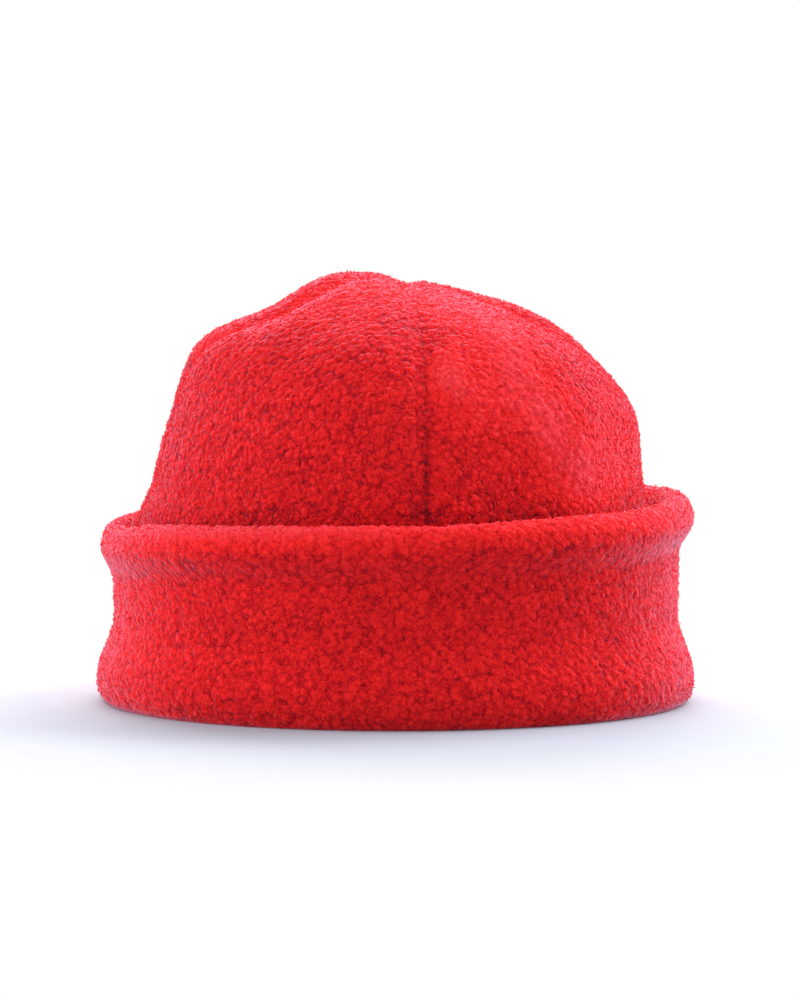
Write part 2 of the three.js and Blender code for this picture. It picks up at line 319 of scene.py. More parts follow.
@dataclass(frozen=True)
class Lattice:
    """Seeded random numbers on the corners of a grid of unit cells."""

    seed: int

    def numbers(self, corners: Array, channel: int) -> Array:
        """Draws a number from 0 to 1 for each corner.

        Args:
            corners: Whole-numbered corners, three columns.
            channel: Which of several independent draws.

        Returns:
            One number for each corner.
        """
        key = corners.astype(np.int64).astype(np.uint64) * AXIS_PRIMES
        mixed = key[:, 0] ^ key[:, 1] ^ key[:, 2]
        mixed += np.uint64(CHANNEL_PRIME * (1 + self.seed * CHANNELS + channel) % (1 << WORD_BITS))
        for shift, prime in STIRS:
            mixed = (mixed ^ (mixed >> np.uint64(shift))) * np.uint64(prime)
        mixed ^= mixed >> np.uint64(LAST_STIR)
        return (mixed >> np.uint64(WORD_BITS - KEPT_BITS)).astype(float) / float(1 << KEPT_BITS)

    def waves(self, points: Array, channel: int) -> Array:
        """Smooth random swell through the cells.

        Args:
            points: Places, in cells.
            channel: Which of several independent swells.

        Returns:
            A number from -1 to 1 for each place.
        """
        base = np.floor(points)
        share = smooth(points - base)
        total = np.zeros(len(points))
        for corner in product((0, 1), repeat=3):
            weight = np.prod(np.where(corner, share, 1.0 - share), axis=1)
            total += weight * self.numbers(base + corner, channel)
        return 2.0 * total - 1.0

    def nearest_two(self, points: Array) -> tuple[Array, Array]:
        """Distances to the nearest two of the random spots, one of which lies in each cell.

        Args:
            points: Places, in cells.

        Returns:
            The distance to the nearest spot and to the second nearest, in cells.
        """
        base = np.floor(points)
        first = np.full(len(points), np.inf)
        second = first.copy()
        for offset in product((-1, 0, 1), repeat=3):
            corner = base + offset
            spot = np.stack([self.numbers(corner, channel) for channel in range(3)], axis=1)
            distance = np.linalg.norm(points - corner - spot, axis=1)
            second = np.minimum(second, np.maximum(first, distance))
            first = np.minimum(first, distance)
        return first, second


class Swell(IntEnum):
    """The pile's independent swells: three that push its nubs about, its felted patches, and its slump."""

    PUSH_X = 0
    PUSH_Y = 1
    PUSH_Z = 2
    FELT = 3
    SLUMP = 4


@dataclass(frozen=True)
class Pile:
    """Felted pile: rounded nubs in loose clumps, parted by soft crevices, and a slow slump of the cloth."""

    nub: float = 2.8
    nub_height: float = 0.85
    nub_round: float = 0.45
    nub_tone: float = 0.6
    clump: float = 7.0
    clump_height: float = 0.35
    crevice: float = 0.26
    warp: float = 1.0
    warp_cell: float = 3.0
    felt_cell: float = 9.0
    felt_span: Span = (-0.4, 0.6)
    felting: float = 0.8
    felt_tone: float = 0.6
    slump: float = 0.35
    slump_cell: float = 26.0
    sunk: float = 0.85
    bare_tone: float = 0.7
    floor_clear: float = 0.02
    seed: int = 5

    def nubs(self, points: Array, size: float, seed: int) -> Array:
        """Works out one size of nub at places on the cloth's face.

        Args:
            points: Places, in millimetres.
            size: Size of the nubs.
            seed: Which of several patterns of nubs.

        Returns:
            The nubs' height at each place, from 0 in a crevice to about 1 on a nub.
        """
        first, second = Lattice(seed).nearest_two(points / size)
        walls = 1.0 - np.exp(-(second - first) / self.crevice)
        return walls * (1.0 - self.nub_round * np.square(first))

    def relief(self, points: Array) -> tuple[Array, Array]:
        """Works out the pile at places on the cloth's face.

        Args:
            points: Places, in millimetres.

        Returns:
            The pile's height over the face, in millimetres, and its tone from crevice, 0, to tip, 1, that
            paints shade into the crevices and light onto the nubs.
        """
        swell = Lattice(self.seed)
        pushes = (Swell.PUSH_X, Swell.PUSH_Y, Swell.PUSH_Z)
        drift = [swell.waves(points / self.warp_cell, push) for push in pushes]
        warped = points + self.warp * np.stack(drift, axis=1)
        patches = swell.waves(points / self.felt_cell, Swell.FELT)
        felted = self.felting * smooth(patches, *self.felt_span)
        nubs = self.nubs(warped, self.nub, self.seed + 1)
        loose = self.nubs(warped, self.clump, self.seed + 2)
        clumps = mix(loose, self.sunk, felted)
        slump = self.slump * swell.waves(points / self.slump_cell, Swell.SLUMP)
        height = self.nub_height * (nubs - self.sunk) + self.clump_height * (clumps - self.sunk) + slump
        # The tone paints shade into the crevices and light onto the nub tops.
        tone = self.nub_tone * nubs + (1.0 - self.nub_tone) * mix(loose, self.felt_tone, felted)
        return height, np.clip(tone, 0.0, 1.0)


class Skin:
    """Rows of points and the triangles between them, gathered into one closed surface."""

    def __init__(self) -> None:
        """Starts with no points."""
        self.rows: list[Array] = []
        self.weights: list[Array] = []
        self.changes: list[Array] = []
        self.shown: list[Array] = []
        self.hidden: list[Array] = []
        self.count = 0

    def add(self, points: Array, weight: float = 0.0, change: Any = 0.0) -> Array:
        """Adds a row of points.

        Args:
            points: The row, three columns.
            weight: How much of the pile stands on it, 1 for the usual pile.
            change: How far the pile's tone is raised by painted sheen and highlight or lowered by painted
                shade, for the row or each point.

        Returns:
            The points' numbers.
        """
        self.rows.append(points)
        self.weights.append(np.full(len(points), weight))
        self.changes.append(np.broadcast_to(np.asarray(change, float), len(points)))
        self.count += len(points)
        return np.arange(self.count - len(points), self.count)

    def join(
        self,
        lower: Array,
        upper: Array,
        shown: bool = False,
        places: tuple[Array, Array] | None = None,
    ) -> None:
        """Fills the strip between two rows that run the same way, whatever their counts.

        Args:
            lower: Point numbers of the lower row.
            upper: Point numbers of the upper row.
            shown: Whether the strip carries pile.
            places: How far along each row its points lie, for rows that aren't spaced evenly.
        """
        if places is None:
            low, high = ((np.arange(len(row) - 1) + 0.5) / (len(row) - 1) for row in (lower, upper))
        else:
            low, high = ((place[:-1] + place[1:]) / 2 for place in places)
        on_low = np.repeat([True, False], [len(low), len(high)])
        on_low = on_low[np.argsort(np.concatenate([low, high]), kind="stable")]
        at_low = np.cumsum(on_low) - on_low
        at_high = np.cumsum(~on_low) - ~on_low
        next_low = lower[np.minimum(at_low + 1, len(lower) - 1)]
        next_high = upper[np.minimum(at_high + 1, len(upper) - 1)]
        third = np.where(on_low, next_low, next_high)
        strip = np.stack([lower[at_low], third, upper[at_high]], axis=1)
        (self.shown if shown else self.hidden).append(strip)

    def raise_pile(self, pile: Pile) -> tuple[Array, Array]:
        """Lifts the points along the surface's normals by the pile's height.

        Args:
            pile: The pile to raise.

        Returns:
            The raised points, and the pile's tone at each.
        """
        points = np.concatenate(self.rows)
        weights = np.concatenate(self.weights)
        carried = np.flatnonzero(weights > 0.0)
        height = np.zeros(len(points))
        tone = np.full(len(points), pile.bare_tone)
        height[carried], tone[carried] = pile.relief(points[carried])
        raised = points + self.normals(points) * (height * weights)[:, None]
        raised[:, 2] = np.maximum(raised[:, 2], np.minimum(points[:, 2], pile.floor_clear))
        return raised, tone + np.concatenate(self.changes)

    def normals(self, points: Array) -> Array:
        """Works out the outward directions of the shown surface.

        Args:
            points: Points of the surface.

        Returns:
            The direction at each point, of length 1, or 0 where nothing is shown.
        """
        faces = np.concatenate(self.shown)
        first, second, third = (points[faces[:, corner]] for corner in range(3))
        facing = np.cross(second - first, third - first)
        columns = [np.repeat(facing[:, axis], 3) for axis in range(3)]
        total = [np.bincount(faces.ravel(), column, len(points)) for column in columns]
        summed = np.stack(total, axis=1)
        return summed / np.maximum(np.linalg.norm(summed, axis=1, keepdims=True), TINY)


def link_object(name: str, data: Any) -> Object:
    """Links a new object with a mesh, a lamp or a camera to the scene.

    Args:
        name: Name of the object.
        data: What it holds.

    Returns:
        The object.
    """
    made = bpy.data.objects.new(name, data)
    bpy.context.scene.collection.objects.link(made)
    return made


def fleece_object(
    name: str, points: Array, faces: Array, tone: Array, material: Material
) -> Object:
    """Makes a mesh object from points in millimetres.

    Args:
        name: Name of the object and its mesh.
        points: Points, in millimetres.
        faces: Triangles, as numbers of points.
        tone: Tone of the pile at each point, kept as the attribute "pile".
        material: The finish of every face.

    Returns:
        The object, in metres, linked to the scene.
    """
    mesh = bpy.data.meshes.new(name)
    mesh.from_pydata((points * MM).tolist(), [], faces.tolist())
    mesh.attributes.new("pile", "FLOAT", "POINT").data.foreach_set("value", tone.astype(np.float32))
    mesh.shade_smooth()
    mesh.set_sharp_from_angle(angle=SHARP_ANGLE)
    mesh.materials.append(material)
    return link_object(name, mesh)


@dataclass(frozen=True)
class Nap:
    """Loose fibres that stand off the fleece: short, tapered and bent over."""

    density: float
    length: float = 1.2
    length_shares: Span = (0.45, 1.3)
    radius: float = 0.1
    rise: float = 0.4
    root_depth: float = 0.15
    bend_rise_share: float = 0.8
    bend_reach: float = 0.35
    tip_rise_shares: Span = (0.1, 1.3)
    tip_reach: float = 0.85
    tones: Span = (0.6, 1.0)
    seed: int = 17

    def build(
        self, name: str, points: Array, faces: Array, weights: Array, material: Material
    ) -> Object:
        """Scatters fibres over a surface, as one mesh, more of them where its pile is deeper.

        Args:
            name: Name of the new piece.
            points: Points of the surface, in millimetres.
            faces: Its triangles.
            weights: How much of the pile stands on each point.
            material: Finish of the fibres.

        Returns:
            The fibres.
        """
        draw = np.random.default_rng(self.seed)
        first, second, third = (points[faces[:, corner]] for corner in range(3))
        facing = np.cross(second - first, third - first)
        area = np.linalg.norm(facing, axis=1) / 2
        grown = area * np.square(weights[faces].mean(axis=1))
        count = int(grown.sum() * self.density)
        face = draw.choice(len(faces), count, p=grown / grown.sum())
        share = np.sqrt(draw.random((count, 1)))
        along = draw.random((count, 1))
        root = first[face] * (1 - share) + share * (second[face] * (1 - along) + third[face] * along)
        out = facing[face] / (2 * area[face][:, None])
        side = np.cross(out, draw.normal(size=(count, 3)))
        side /= np.linalg.norm(side, axis=1, keepdims=True)
        ahead = np.cross(side, out)
        reach = self.length * draw.uniform(*self.length_shares, (count, 1))
        bend = root + reach * (self.bend_rise_share * self.rise * out + self.bend_reach * ahead)
        risen = self.rise * draw.uniform(*self.tip_rise_shares, (count, 1))
        tip = root + reach * (risen * out + self.tip_reach * ahead)
        middle = [bend - self.radius * side, bend + self.radius * side]
        corners = np.stack([root - self.root_depth * out, *middle, tip], axis=1)
        shape = np.array([(0, 1, 2), (0, 3, 1), (0, 2, 3), (1, 3, 2)])
        fibres = (np.arange(count) * len(corners[0]))[:, None, None] + shape
        tone = np.repeat(draw.uniform(*self.tones, count), len(corners[0]))
        return fleece_object(name, corners.reshape(-1, 3), fibres.reshape(-1, 3), tone, material)


class Nodes:
    """Short way to add nodes to a tree and join them."""

    def __init__(self, tree: NodeTree) -> None:
        """Empties the tree."""
        self.tree = tree
        tree.nodes.clear()

    def add(self, kind: str, inputs: dict[str | int, Any] | None = None, **settings: Any) -> Node:
        """Adds a node.

        Args:
            kind: Blender's name of the node's type.
            inputs: Value of each input, or the output that feeds it.
            settings: Properties of the node.

        Returns:
            The node.
        """
        node = self.tree.nodes.new(kind)
        for name, value in settings.items():
            setattr(node, name, value)
        for name, value in (inputs or {}).items():
            if isinstance(value, NodeSocket):
                self.tree.links.new(value, node.inputs[name])
            else:
                node.inputs[name].default_value = value
        return node

    def ramp(self, factor: NodeSocket, places: tuple[float, ...], *colours: Colour) -> NodeSocket:
        """Adds a colour ramp.

        Args:
            factor: Output that the ramp reads.
            places: Places of the ramp's stops, from 0 to 1.
            colours: Colour of each stop.

        Returns:
            The ramp's colour output.
        """
        node = self.add("ShaderNodeValToRGB", {"Fac": factor})
        elements = node.color_ramp.elements
        while len(elements) < len(places):
            elements.new(1.0)
        for element, place, colour in zip(elements, places, colours):
            element.position = place
            element.color = (*colour, 1.0)
        return node.outputs["Color"]

    def remap(
        self, value: NodeSocket, span: Span, onto: Span = (0.0, 1.0), eased: bool = False
    ) -> NodeSocket:
        """Adds a map from one stretch of values onto another.

        Args:
            value: Output that is mapped.
            span: Ends of its stretch.
            onto: What the ends turn into.
            eased: Whether the map is eased at both ends.

        Returns:
            The mapped output.
        """
        ends = dict(zip(("From Min", "From Max", "To Min", "To Max"), (*span, *onto)))
        curve = "SMOOTHSTEP" if eased else "LINEAR"
        node = self.add("ShaderNodeMapRange", {"Value": value, **ends}, interpolation_type=curve)
        return node.outputs["Result"]

    def math(self, operation: str, *values: Any) -> NodeSocket:
        """Adds a step of arithmetic on numbers or outputs, and gives its result."""
        return self.add("ShaderNodeMath", dict(enumerate(values)), operation=operation).outputs[0]

    def blend(self, factor: NodeSocket, first: Any, second: Any) -> NodeSocket:
        """Adds a mix of two colours or colour outputs, and gives its result."""
        inputs = {"Factor": factor, FIRST_COLOUR: first, SECOND_COLOUR: second}
        return self.add("ShaderNodeMix", inputs, data_type="RGBA").outputs[MIXED_COLOUR]

    def cells(self, place: NodeSocket, size: float, feature: str = "F1") -> NodeSocket:
        """Adds a pattern of random cells, and gives the distances in it."""
        inputs = {"Vector": place, "Scale": 1 / size}
        return self.add("ShaderNodeTexVoronoi", inputs, feature=feature).outputs["Distance"]


@dataclass(frozen=True)
class Finish:
    """A finish, under the name of its material."""

    name: str

    def shader(self, nodes: Nodes) -> NodeSocket:
        """Adds the finish's nodes to a tree, and gives the shader's output."""
        raise NotImplementedError

    def material(self) -> Material:
        """Builds the finish.

        Returns:
            The material.
        """
        made = bpy.data.materials.new(self.name)
        made.use_nodes = True
        nodes = Nodes(made.node_tree)
        nodes.add("ShaderNodeOutputMaterial", {"Surface": self.shader(nodes)})
        return made


@dataclass(frozen=True)
class FleeceFinish(Finish):
    """Boiled wool: dark red in the crevices by painted shade, bright red on the nubs by painted light, with a
    pink sheen at grazing angles.

    Sizes are in metres, as the shader reads them.
    """

    name: str = "red_boiled_wool"
    # The ramp's colours paint light and shade: deep is painted shade along the seams, above the cuff and in
    # the deepest crevices, crevice is painted shade in the pile, and tip is painted light on the nubs.
    deep: Colour = (0.17, 0.004, 0.013)
    crevice: Colour = (0.44, 0.006, 0.010)
    cloth: Colour = (0.70, 0.0115, 0.0128)
    tip: Colour = (0.93, 0.021, 0.019)
    dye_and_shade_stops: tuple[float, ...] = (0.02, 0.25, 0.49, 0.74)
    # Pale pink of painted sheen and highlight, blended in as the pile's tone runs over the next span.
    painted_sheen: Colour = (0.93, 0.07, 0.095)
    painted_sheen_span: Span = (0.9, 2.9)
    nub: float = 0.0021
    nub_edge: Span = (0.3, 0.85)
    nub_height: float = 0.7
    swirl: float = 0.0009
    swirl_nubs: float = 1.2
    fuzz: float = 0.0008
    fuzz_height: float = 2.0
    clump: float = 0.0045
    clump_edge: Span = (0.0, 0.11)
    clump_height: float = 0.55
    pile_height: float = 1.1
    pile_most: float = 0.98
    tone_span: Span = (0.91, 3.85)
    roughness: Span = (1.0, 0.78)
    specular: float = 0.03
    sheen: float = 0.9
    sheen_roughness: float = 0.36
    sheen_tint: Colour = (1.0, 0.54, 0.77)
    bump: float = 0.45
    bump_depth: float = 0.0006

    def shader(self, nodes: Nodes) -> NodeSocket:
        """Adds the cloth's nodes: curls of wool in clumps, coloured by their height with painted shade in the
        crevices and painted light on the nubs, with painted pale sheen, and bumped.

        Args:
            nodes: The tree to add to.

        Returns:
            The shader's output.
        """
        place = nodes.add("ShaderNodeTexCoord").outputs["Object"]
        pile = nodes.add("ShaderNodeAttribute", attribute_name="pile").outputs["Fac"]
        swirl_scale = 1 / (self.swirl_nubs * self.nub)
        swirl = nodes.add("ShaderNodeTexNoise", {"Vector": place, "Scale": swirl_scale, "Detail": 1.0})
        bend = {0: swirl.outputs["Color"], 1: (2 * self.swirl,) * 3, 2: place}
        bent = nodes.add("ShaderNodeVectorMath", bend, operation="MULTIPLY_ADD").outputs["Vector"]
        fuzz = nodes.add("ShaderNodeTexNoise", {"Vector": place, "Scale": 1 / self.fuzz, "Detail": 2.0})
        nub_cells = nodes.cells(bent, self.nub)
        nubs = nodes.remap(nub_cells, self.nub_edge, (self.nub_height, 0.0), eased=True)
        curls = nodes.math("MULTIPLY_ADD", fuzz.outputs["Fac"], self.fuzz_height, nubs)
        cracks = nodes.cells(bent, self.clump, "DISTANCE_TO_EDGE")
        clumps = nodes.remap(cracks, self.clump_edge, (0.0, self.clump_height), eased=True)
        grown = nodes.math("ADD", curls, clumps)
        capped = nodes.math("MINIMUM", pile, self.pile_most)
        heights = nodes.math("MULTIPLY_ADD", capped, self.pile_height, grown)
        tone = nodes.remap(heights, self.tone_span)
        # Painted shade and light: the colour darkens into the crevices and cracks, and lightens on the nub
        # tops.
        dye_and_shade = nodes.ramp(tone, self.dye_and_shade_stops, self.deep, self.crevice, self.cloth, self.tip)
        bump = {"Strength": self.bump, "Distance": self.bump_depth, "Height": curls}
        return nodes.add(
            "ShaderNodeBsdfPrincipled",
            {
                # Painted sheen: a raised pile tone blends the colour towards pale pink.
                "Base Color": nodes.blend(nodes.remap(pile, self.painted_sheen_span), dye_and_shade, (*self.painted_sheen, 1.0)),
                "Roughness": nodes.remap(fuzz.outputs["Fac"], (0.0, 1.0), self.roughness),
                "Normal": nodes.add("ShaderNodeBump", bump).outputs["Normal"],
                "Specular IOR Level": self.specular,
                "Sheen Weight": self.sheen,
                "Sheen Roughness": self.sheen_roughness,
                "Sheen Tint": (*self.sheen_tint, 1.0),
            },
        ).outputs["BSDF"]


@dataclass(frozen=True)
class NapFinish(Finish):
    """Loose wool fibres: matt red, some of them paler than the cloth."""

    name: str = "red_wool_fibre"
    tones: Span = Nap.tones
    dull: Colour = (0.70, 0.010, 0.012)
    bright: Colour = (0.94, 0.050, 0.060)
    roughness: float = 0.95

    def shader(self, nodes: Nodes) -> NodeSocket:
        """Adds the fibres' nodes.

        Args:
            nodes: The tree to add to.

        Returns:
            The shader's output.
        """
        tone = nodes.add("ShaderNodeAttribute", attribute_name="pile").outputs["Fac"]
        dye_and_shade = nodes.ramp(tone, self.tones, self.dull, self.bright)
        look = {"Base Color": dye_and_shade, "Roughness": self.roughness, "Specular IOR Level": 0.0}
        return nodes.add("ShaderNodeBsdfPrincipled", look).outputs["BSDF"]


@dataclass(frozen=True)
class Wool:
    """The hat's finishes: cloth of the crown and the cuff, cloth with little sheen, and the loose fibres."""

    crown: Material
    cuff: Material
    matt: Material
    fibre: Material


@dataclass
class SewnPart:
    """A sewn piece of the hat: fleece with its pile raised, and the loose fibres that stand on it."""

    pile: Pile
    nap: Nap

    def skin(self) -> Skin:
        """The piece's closed surface, before its pile is raised."""
        raise NotImplementedError

    def pressed(self, points: Array, faces: Array) -> Array:
        """Whether the pile of each face is pressed and has little sheen; no face of a plain piece is."""
        return np.zeros(len(faces), bool)

    def dress(
        self, label: str, solid: str, cloth: Material, wool: Wool, nap_from: float
    ) -> tuple[Object, Object]:
        """Makes the piece and the nap on it, and puts both on the hat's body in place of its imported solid.

        Args:
            label: End of the names of both.
            solid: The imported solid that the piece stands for.
            cloth: Finish of the shown cloth.
            wool: The hat's other finishes.
            nap_from: Least share of the pile that carries nap.

        Returns:
            The piece and its nap.
        """
        skin = self.skin()
        points, tone = skin.raise_pile(self.pile)
        weights = np.concatenate(skin.weights)
        shown = np.concatenate(skin.shown)
        faces = np.concatenate([shown, *skin.hidden])
        matt = self.pressed(points, faces) | (np.arange(len(faces)) >= len(shown))
        piece = fleece_object(f"fleece_{label}", points, faces, tone, cloth)
        piece.data.materials.append(wool.matt)
        piece.data.polygons.foreach_set("material_index", matt.astype(np.int32))
        grown = shown[weights[shown].min(axis=1) >= nap_from]
        nap = self.nap.build(f"nap_{label}", points, grown, weights, wool.fibre)
        for made in (piece, nap):
            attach(made, BODY)
        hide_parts(solid)
        return piece, nap


class CrownRow(NamedTuple):
    """One level of a crown panel: its share of the dome's form, its place, and the grid and pile on it."""

    share: float
    elevation: float
    z: float
    spacing: float
    weight: float


@dataclass(frozen=True)
class CrownForm:
    """Outside of the crown: a dome on an upright wall, folded and dented, and pulled in along its seams."""

    pattern: Pattern = Pattern()
    meridians: tuple[Meridian, ...] = CROWN_MERIDIANS
    folds: tuple[Spot, ...] = CROWN_FOLDS
    elevation_step: float = 15.0
    centre_z: float = 60.0
    apex_radius: float = 100.6
    apex_lean: float = 3.8
    seam_dip: float = 2.4
    seam_roll: float = 5.5

    def ring(self, index: int, angles: Array) -> Any:
        """Reads the table of meridians at one of its elevations.

        Args:
            index: Which elevation. Past the apex they run down the far side.
            angles: Angles round the hat.

        Returns:
            Distance of the outside from the dome's centre at each angle, or the apex's one distance.
        """
        columns = Meridian._fields[1:]
        beyond = index - len(columns)
        if beyond == 0:
            return self.apex_radius
        if beyond > 0:
            return read_round(self.meridians, columns[-beyond], angles + 180.0)
        return read_round(self.meridians, columns[max(index, 0)], angles)

    def dome(self, angles: Array, elevation: float) -> Array:
        """Works out the dome with its folds along one elevation.

        Args:
            angles: Angles round the hat.
            elevation: Elevation of all of them.

        Returns:
            Distance of the outside from the dome's centre at each angle.
        """
        place = elevation / self.elevation_step
        first = math.floor(place)
        near = [self.ring(first + step, angles) for step in (-1, 0, 1, 2)]
        radius = smooth_between(*near, place - first)
        for fold in self.folds:
            radius = radius + fold.at(angles, elevation)
        return radius

    def outline(self, row: CrownRow, angles: Array) -> Array:
        """Radius of a level before its seams are pulled in, along the row's elevation."""
        return mix(self.pattern.wall_radius, self.dome(angles, row.elevation), row.share)

    def points(self, row: CrownRow, angles: Array, from_seam: Array, depth: Any) -> Array:
        """Points of one level of the crown.

        Args:
            row: The level.
            angles: Angles of the points.
            from_seam: Their distances from the nearer seam.
            depth: How deep they lie under the outside.

        Returns:
            The points.
        """
        dip = self.seam_dip * row.share * bell(from_seam / self.seam_roll)
        radius = self.outline(row, angles) - dip - depth
        sine, cosine = math.sin(math.radians(row.elevation)), math.cos(math.radians(row.elevation))
        points = around_hat(radius * cosine, angles, row.z + radius * sine)
        points[:, 0] += self.apex_lean * sine * sine
        return points


class InnerLine(NamedTuple):
    """Grid line of a panel's inside: distance from the seam, its limit as a share, and if it is turned in."""

    distance: float
    most_share: float
    turned: bool


@dataclass
class CrownPanel(SewnPart):
    """One gore of the crown, with its seam edges turned inside."""

    gore: Gore
    form: CrownForm
    # Painted sheen, highlight and shade at listed places of the crown.
    tones: tuple[Spot, ...] = CROWN_PAINTED_LIGHT
    grid: float = 0.64
    hidden_grid: float = 6.0
    hidden_levels: int = 6
    shown_from: float = 52.0
    pile_rises: float = 5.0
    wall_margin: float = 0.1
    tip: float = 89.9
    least_columns: int = 3
    nap_from: float = 1.0
    seam_allowance: float = 6.0
    seam_slit: float = 0.04
    fin_rises: float = 6.0
    fin_fades: Span = (55.0, 80.0)
    fin_flank: float = 0.4
    seam_shadow: float = 0.75
    seam_shadow_reach: float = 1.25
    seam_shadow_fades_from: float = 12.0
    foot_shadow: float = 0.3
    foot_shadow_reach: float = 9.0
    # Painted pale sheen that lightens the crown towards its top, and the elevations it grows between.
    top_sheen_paint: float = 0.3
    top_sheen_paint_from: Span = (42.0, 72.0)
    cut_size: Span = (0.164, 0.214)
    cut_area: float = 0.0258

    @property
    def inner_lines(self) -> tuple[InnerLine, ...]:
        """Lays out half the panel's inside.

        Returns:
            The grid lines from the seam to the panel's middle.
        """
        fleece = self.form.pattern.fleece
        return (
            InnerLine(self.seam_slit / 2, 0.1, True),
            InnerLine(fleece, 0.26, True),
            InnerLine(fleece + self.fin_flank, 0.3, False),
            InnerLine(9.0, 0.42, False),
            InnerLine(20.0, 0.56, False),
            InnerLine(42.0, 0.78, False),
            InnerLine(math.inf, 1.0, False),
        )

    def levels(self) -> list[CrownRow]:
        """Lays out the panel's rows: coarse behind the cuff, and fine above it up to the tip.

        Returns:
            The rows from the foot to the tip.
        """
        foot, centre = self.form.pattern.foot_z, self.form.centre_z
        hidden = np.linspace(foot, self.shown_from, self.hidden_levels, endpoint=False)
        wall = np.arange(self.shown_from, centre - self.wall_margin, self.grid)
        rows = [CrownRow((z - foot) / (centre - foot), 0.0, z, self.hidden_grid, 0.0) for z in hidden]
        for z in wall:
            weight = float(smooth(z, self.shown_from, self.shown_from + self.pile_rises))
            rows.append(CrownRow((z - foot) / (centre - foot), 0.0, z, self.grid, weight))
        steps = round(self.tip / math.degrees(self.grid / self.form.apex_radius))
        rows += [CrownRow(1.0, up, centre, self.grid, 1.0) for up in np.linspace(0.0, self.tip, steps + 1)]
        return rows

    def tone_change(
        self, row: CrownRow, points: Array, angles: Array, from_seams: tuple[Array, Array]
    ) -> Array:
        """Works out where the panel is painted pale as sheen and highlight, and where its seams and the cuff
        darken it with painted shade.

        Args:
            row: The level.
            points: Points of the level.
            angles: Their angles.
            from_seams: Their distances from each of the panel's seams.

        Returns:
            The change of tone at each point.
        """
        above_cuff = points[:, 2] - read_round(CUFF_STATIONS, "height", angles)
        change = -self.foot_shadow * (1.0 - smooth(above_cuff, 0.0, self.foot_shadow_reach))
        # Painted pale sheen towards the top of the crown.
        change += self.top_sheen_paint * float(smooth(row.elevation, *self.top_sheen_paint_from))
        for seam, distance in zip(self.gore.value, from_seams):
            shade = 1.0 - float(smooth(row.elevation, self.seam_shadow_fades_from, seam.shade_to))
            change -= self.seam_shadow * shade * bell(distance / self.seam_shadow_reach)
        # Painted sheen, highlight and shade at the crown's listed places.
        for mark in self.tones:
            change += mark.at(angles, row.elevation)
        return change

    def add_level(self, skin: Skin, row: CrownRow) -> tuple[Array, Array, tuple[Array, Array]]:
        """Adds one level of the panel to its surface: the outside, and the inside with the turned edges.

        Args:
            skin: The surface.
            row: The level.

        Returns:
            Numbers of the inside's points and of the outside's, and how far along the level both lie.
        """
        start, stop = self.gore.value
        fleece = self.form.pattern.fleece
        first = start.at(row.elevation)
        span = (stop.at(row.elevation) - first) % 360.0
        middle = float(self.form.outline(row, np.array([first + span / 2]))[0])
        per_degree = middle * math.cos(math.radians(row.elevation)) * math.pi / 180.0
        edge = [min(line.distance / per_degree, line.most_share * span / 2) for line in self.inner_lines]
        columns = max(self.least_columns, round((span - 2 * edge[0]) * per_degree / row.spacing) + 1)
        turns = np.linspace(edge[0], span - edge[0], columns)
        from_seams = (turns * per_degree, (span - turns) * per_degree)
        points = self.form.points(row, first + turns, np.minimum(*from_seams), 0.0)
        outer = skin.add(points, row.weight, self.tone_change(row, points, first + turns, from_seams))
        fin = self.seam_allowance * (1.0 - float(smooth(row.elevation, *self.fin_fades)))
        fin *= float(smooth(row.z - self.form.pattern.foot_z, 0.0, self.fin_rises))
        half = [fleece + fin * line.turned for line in self.inner_lines]
        inside = np.array([*edge, *(span - turn for turn in edge[-2::-1])])
        depth = np.array([*half, *half[-2::-1]])
        from_seam = np.minimum(inside, span - inside) * per_degree
        inner = skin.add(self.form.points(row, first + inside, from_seam, depth))
        return inner, outer, (inside, turns)

    def skin(self) -> Skin:
        """Builds the panel's closed surface, before its pile is raised.

        Returns:
            The surface.
        """
        skin = Skin()
        before: tuple[Array, Array] | None = None
        for row in self.levels():
            inner, outer, places = self.add_level(skin, row)
            back = np.array([outer[-1], *inner[::-1], outer[0]])
            if before is None:
                skin.join(inner, outer, places=places)
            else:
                skin.join(before[0], outer, shown=True)
                skin.join(before[1], back)
            before = (outer, back)
        skin.join(outer, inner)
        return skin

    def build(self, wool: Wool) -> list[Object]:
        """Makes the panel and the nap on it.

        Args:
            wool: The hat's finishes.

        Returns:
            The panel and its nap.
        """
        label = f"panel_{self.gore.name.lower()}"
        panel, nap = self.dress(label, f"crown_{label}", wool.crown, wool, self.nap_from)
        return [panel, nap]


class Part(Enum):
    """Stretches of the band's section, in order from the lip, under the rim and up to the fold."""

    TURN = "turn"
    FLARE = "flare"
    WAIST = "waist"
    LIFT = "lift"
    FOLD = "fold"


class CuffRow(NamedTuple):
    """One line along the band: its stretch, place on it, offset from the middle line, points and pile."""

    part: Part
    place: float
    offset: float
    columns: int
    weight: float


